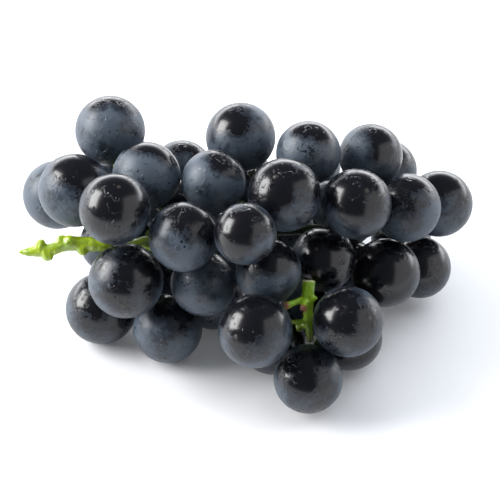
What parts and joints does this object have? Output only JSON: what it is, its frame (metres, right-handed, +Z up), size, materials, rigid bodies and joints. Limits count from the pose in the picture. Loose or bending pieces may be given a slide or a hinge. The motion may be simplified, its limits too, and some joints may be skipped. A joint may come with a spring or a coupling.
{
  "type": "bunch of grapes",
  "caption": "Bunch of round, dark blue-black table grapes on a branched green stem, lying on its side.",
  "frame": {"origin": "on the table under the middle of the bunch's box", "axes": "+Z up, +X along the bunch from the torn end of the stem to the far end, -Y the side that faces the viewer"},
  "size_m": [0.1736, 0.1284, 0.0831],
  "materials": {
    "berry_skin": "dark blue-black grape skin, glossy where it is rubbed, dulled by a thin blue-grey waxy bloom elsewhere",
    "stem": "fresh yellow-green grape stem, slightly waxy, browned at its torn and cut ends"
  },
  "bodies": {
    "root": {"stem": "stem", "berry_01": "berry_skin", "berry_02": "berry_skin", "berry_03": "berry_skin", "berry_04": "berry_skin", "berry_05": "berry_skin", "berry_06": "berry_skin", "berry_07": "berry_skin", "berry_08": "berry_skin", "berry_09": "berry_skin", "berry_10": "berry_skin", "berry_11": "berry_skin", "berry_12": "berry_skin", "berry_13": "berry_skin", "berry_14": "berry_skin", "berry_15": "berry_skin", "berry_16": "berry_skin", "berry_17": "berry_skin", "berry_18": "berry_skin", "berry_19": "berry_skin", "berry_20": "berry_skin", "berry_21": "berry_skin", "berry_22": "berry_skin", "berry_23": "berry_skin", "berry_24": "berry_skin", "berry_25": "berry_skin", "berry_26": "berry_skin", "berry_27": "berry_skin", "berry_28": "berry_skin", "berry_29": "berry_skin", "berry_30": "berry_skin", "berry_31": "berry_skin", "berry_32": "berry_skin", "berry_33": "berry_skin", "berry_34": "berry_skin", "berry_35": "berry_skin", "berry_36": "berry_skin", "berry_37": "berry_skin", "berry_38": "berry_skin", "berry_39": "berry_skin", "berry_40": "berry_skin", "berry_41": "berry_skin", "berry_42": "berry_skin", "berry_43": "berry_skin", "berry_44": "berry_skin", "berry_45": "berry_skin", "berry_46": "berry_skin", "berry_47": "berry_skin", "berry_48": "berry_skin"}
  },
  "joints": []
}
